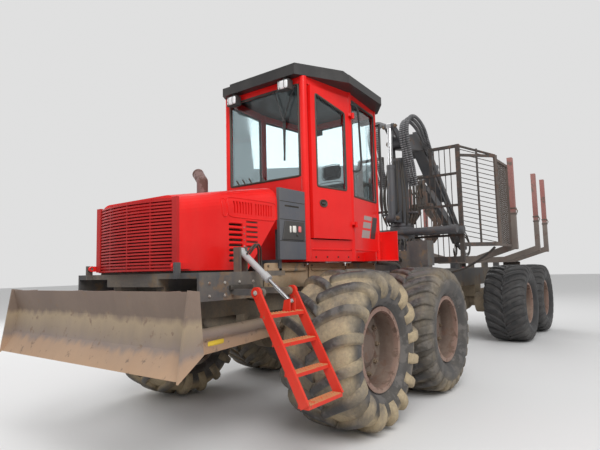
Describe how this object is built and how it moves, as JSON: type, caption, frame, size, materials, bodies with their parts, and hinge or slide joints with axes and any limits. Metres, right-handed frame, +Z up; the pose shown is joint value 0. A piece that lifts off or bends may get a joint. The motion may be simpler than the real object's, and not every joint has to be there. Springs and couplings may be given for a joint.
{
  "type": "forestry forwarder",
  "caption": "Articulated forestry forwarder on bogie wheels, with dozer blade, tilting hood, hollow cab, folding ladder, staked log bed and folded loading crane with grapple.",
  "frame": {"origin": "on the ground, midway between the blade's front and the drawbar plate's rear edge, on the machine's middle plane", "axes": "+X forwards, towards the blade; +Y to the machine's left; +Z up"},
  "size_m": [10.06, 2.96, 3.71],
  "materials": {
    "red_paint": "faded gloss",
    "crane_grey": "worn satin",
    "frame_paint": "dirty satin",
    "axle_steel": "dirty, oily",
    "engine_metal": "matt",
    "roof_plastic": "matt",
    "window_glass": "clear",
    "seat_fabric": "woven",
    "console_plastic": "matt",
    "slate_paint": "satin",
    "lamp_plastic": "matt",
    "black_paint": "satin",
    "blade_rust": "rusty",
    "exhaust_rust": "heat-stained",
    "rod_chrome": "polished",
    "actuator_silver": "satin",
    "tyre_rubber": "muddy",
    "rim_paint": "rusty",
    "bar_steel": "rusty",
    "stake_paint": "worn",
    "tank_paint": "satin",
    "grapple_steel": "worn to metal"
  },
  "bodies": {
    "front_unit": {"front_frame": "frame_paint", "front_axle": "axle_steel", "engine": "engine_metal", "cab_shell": "red_paint", "cab_roof": "roof_plastic", "cab_glass": "window_glass", "cab_seat": "seat_fabric", "cab_console": "console_plastic", "side_panels": "slate_paint", "roof_lamps": "lamp_plastic", "cab_rails": "black_paint"},
    "blade": {"blade": "blade_rust"},
    "blade_barrels": {"blade_barrels": "crane_grey"},
    "blade_rods": {"blade_rods": "rod_chrome"},
    "hood": {"hood": "red_paint", "grille": "red_paint", "exhaust": "exhaust_rust"},
    "door": {"cab_door": "red_paint", "door_glass": "window_glass"},
    "ladder": {"ladder": "red_paint"},
    "ladder_barrel": {"ladder_barrel": "actuator_silver"},
    "ladder_rod": {"ladder_rod": "rod_chrome"},
    "wheel_front_left_1": {"tyre_front_left_1": "tyre_rubber", "rim_front_left_1": "rim_paint"},
    "wheel_front_left_2": {"tyre_front_left_2": "tyre_rubber", "rim_front_left_2": "rim_paint"},
    "wheel_front_right_1": {"tyre_front_right_1": "tyre_rubber", "rim_front_right_1": "rim_paint"},
    "wheel_front_right_2": {"tyre_front_right_2": "tyre_rubber", "rim_front_right_2": "rim_paint"},
    "wheel_rear_left_1": {"tyre_rear_left_1": "tyre_rubber", "rim_rear_left_1": "rim_paint"},
    "wheel_rear_left_2": {"tyre_rear_left_2": "tyre_rubber", "rim_rear_left_2": "rim_paint"},
    "wheel_rear_right_1": {"tyre_rear_right_1": "tyre_rubber", "rim_rear_right_1": "rim_paint"},
    "wheel_rear_right_2": {"tyre_rear_right_2": "tyre_rubber", "rim_rear_right_2": "rim_paint"},
    "rear_unit": {"rear_frame": "frame_paint", "rear_axle": "axle_steel", "headboard": "bar_steel", "stakes": "stake_paint", "valve_tank": "tank_paint", "crane_base": "crane_grey"},
    "crane_column": {"crane_column": "crane_grey"},
    "main_boom": {"main_boom": "crane_grey"},
    "lift_barrel": {"lift_barrel": "crane_grey"},
    "lift_rod": {"lift_rod": "rod_chrome"},
    "jib": {"jib": "crane_grey"},
    "jib_barrel": {"jib_barrel": "crane_grey"},
    "jib_rod": {"jib_rod": "rod_chrome"},
    "jib_extension": {"jib_extension": "crane_grey"},
    "grapple_link": {"grapple_link": "grapple_steel"},
    "rotator": {"rotator": "grapple_steel"},
    "jaw_left": {"jaw_left": "grapple_steel"},
    "jaw_right": {"jaw_right": "grapple_steel"}
  },
  "joints": [
    {"name": "steer", "type": "hinge", "parent": "front_unit", "child": "rear_unit", "pos_m": [0.5, 0, 1], "axis": [0, 0, 1], "range_deg": [-40, 40]},
    {"name": "blade_tilt", "type": "hinge", "parent": "front_unit", "child": "blade", "pos_m": [3.56, 0, 0.86], "axis": [0, 1, 0], "range_deg": [-6, 29]},
    {"name": "blade_barrel_swing", "type": "hinge", "parent": "front_unit", "child": "blade_barrels", "pos_m": [3.72, 0, 1.18], "axis": [0, 1, 0], "range_deg": [-7, 31]},
    {"name": "blade_rod_slide", "type": "slide", "parent": "blade_barrels", "child": "blade_rods", "axis": [0.9985, 0, -0.0547], "range_m": [-0.04, 0.18]},
    {"name": "hood_tilt", "type": "hinge", "parent": "front_unit", "child": "hood", "pos_m": [4.58, 0, 1.37], "axis": [0, 1, 0], "range_deg": [0, 55]},
    {"name": "door_swing", "type": "hinge", "parent": "front_unit", "child": "door", "pos_m": [2.27616, 0.69708, 2], "axis": [0, 0, 1], "range_deg": [0, 85]},
    {"name": "ladder_fold", "type": "hinge", "parent": "front_unit", "child": "ladder", "pos_m": [4.09, 1.05, 1.17], "axis": [1, 0, 0], "range_deg": [0, 140]},
    {"name": "ladder_barrel_swing", "type": "hinge", "parent": "front_unit", "child": "ladder_barrel", "pos_m": [4.03, 0.66, 1.48], "axis": [1, 0, 0], "range_deg": [0, 10.5]},
    {"name": "ladder_rod_slide", "type": "slide", "parent": "ladder_barrel", "child": "ladder_rod", "axis": [0, 0.7794, -0.6265], "range_m": [-0.19, 0]},
    {"name": "spin_front_left_1", "type": "hinge", "parent": "front_unit", "child": "wheel_front_left_1", "pos_m": [3.175, 1.13, 0.66], "axis": [0, 1, 0], "continuous": true},
    {"name": "spin_front_left_2", "type": "hinge", "parent": "front_unit", "child": "wheel_front_left_2", "pos_m": [1.665, 1.13, 0.66], "axis": [0, 1, 0], "continuous": true},
    {"name": "spin_front_right_1", "type": "hinge", "parent": "front_unit", "child": "wheel_front_right_1", "pos_m": [3.175, -1.13, 0.66], "axis": [0, 1, 0], "continuous": true},
    {"name": "spin_front_right_2", "type": "hinge", "parent": "front_unit", "child": "wheel_front_right_2", "pos_m": [1.665, -1.13, 0.66], "axis": [0, 1, 0], "continuous": true},
    {"name": "spin_rear_left_1", "type": "hinge", "parent": "rear_unit", "child": "wheel_rear_left_1", "pos_m": [-2.355, 1.13, 0.66], "axis": [0, 1, 0], "continuous": true},
    {"name": "spin_rear_left_2", "type": "hinge", "parent": "rear_unit", "child": "wheel_rear_left_2", "pos_m": [-3.865, 1.13, 0.66], "axis": [0, 1, 0], "continuous": true},
    {"name": "spin_rear_right_1", "type": "hinge", "parent": "rear_unit", "child": "wheel_rear_right_1", "pos_m": [-2.355, -1.13, 0.66], "axis": [0, 1, 0], "continuous": true},
    {"name": "spin_rear_right_2", "type": "hinge", "parent": "rear_unit", "child": "wheel_rear_right_2", "pos_m": [-3.865, -1.13, 0.66], "axis": [0, 1, 0], "continuous": true},
    {"name": "crane_slew", "type": "hinge", "parent": "rear_unit", "child": "crane_column", "pos_m": [-0.4, 0, 2], "axis": [0, 0, 1], "range_deg": [-20, 20]},
    {"name": "boom_lift", "type": "hinge", "parent": "crane_column", "child": "main_boom", "pos_m": [-0.4, 0, 3.35], "axis": [0, 1, 0], "range_deg": [0, 80]},
    {"name": "lift_barrel_swing", "type": "hinge", "parent": "crane_column", "child": "lift_barrel", "pos_m": [-0.05, 0, 2.08], "axis": [0, 1, 0], "range_deg": [-4, 0]},
    {"name": "lift_rod_slide", "type": "slide", "parent": "lift_barrel", "child": "lift_rod", "axis": [-0.034, 0, 0.9994], "range_m": [-0.46, 0]},
    {"name": "jib_fold", "type": "hinge", "parent": "main_boom", "child": "jib", "pos_m": [-3.05, 0, 1.86], "axis": [0, 1, 0], "range_deg": [0, 48.5]},
    {"name": "jib_barrel_swing", "type": "hinge", "parent": "main_boom", "child": "jib_barrel", "pos_m": [-1.95623, 0, 3.18158], "axis": [0, 1, 0], "range_deg": [0, 6.6]},
    {"name": "jib_rod_slide", "type": "slide", "parent": "jib_barrel", "child": "jib_rod", "axis": [-0.6865, 0, -0.7271], "range_m": [-0.185, 0]},
    {"name": "jib_extend", "type": "slide", "parent": "jib", "child": "jib_extension", "axis": [0.8829, 0, 0.4695], "range_m": [0, 0.41]},
    {"name": "link_swing", "type": "hinge", "parent": "jib_extension", "child": "grapple_link", "pos_m": [-1.28411, 0, 2.79894], "axis": [0, 1, 0], "range_deg": [-129, 0]},
    {"name": "rotator_turn", "type": "hinge", "parent": "grapple_link", "child": "rotator", "pos_m": [-1.28411, 0, 2.5], "axis": [0, 0, 1], "continuous": true},
    {"name": "jaw_left_swing", "type": "hinge", "parent": "rotator", "child": "jaw_left", "pos_m": [-1.28411, 0.12, 2.29894], "axis": [1, 0, 0], "range_deg": [0, 60]},
    {"name": "jaw_right_swing", "type": "hinge", "parent": "rotator", "child": "jaw_right", "pos_m": [-1.28411, -0.12, 2.29894], "axis": [1, 0, 0], "range_deg": [-60, 0]}
  ],
  "couplings": [
    {"joint": "blade_barrel_swing", "follows": "blade_tilt", "ratio": 1.0431},
    {"joint": "blade_rod_slide", "follows": "blade_tilt", "m_per_rad": 0.35027},
    {"joint": "ladder_barrel_swing", "follows": "ladder_fold", "ratio": 0.0735},
    {"joint": "ladder_rod_slide", "follows": "ladder_fold", "m_per_rad": -0.07598},
    {"joint": "lift_barrel_swing", "follows": "boom_lift", "ratio": -0.047},
    {"joint": "lift_rod_slide", "follows": "boom_lift", "m_per_rad": -0.32696},
    {"joint": "jib_fold", "follows": "boom_lift", "ratio": 0.6},
    {"joint": "jib_barrel_swing", "follows": "boom_lift", "ratio": 0.0807},
    {"joint": "jib_rod_slide", "follows": "boom_lift", "m_per_rad": -0.12969},
    {"joint": "jib_extend", "follows": "boom_lift", "m_per_rad": 0.2865},
    {"joint": "link_swing", "follows": "boom_lift", "ratio": -1.6},
    {"joint": "jaw_right_swing", "follows": "jaw_left_swing", "ratio": -1}
  ]
}
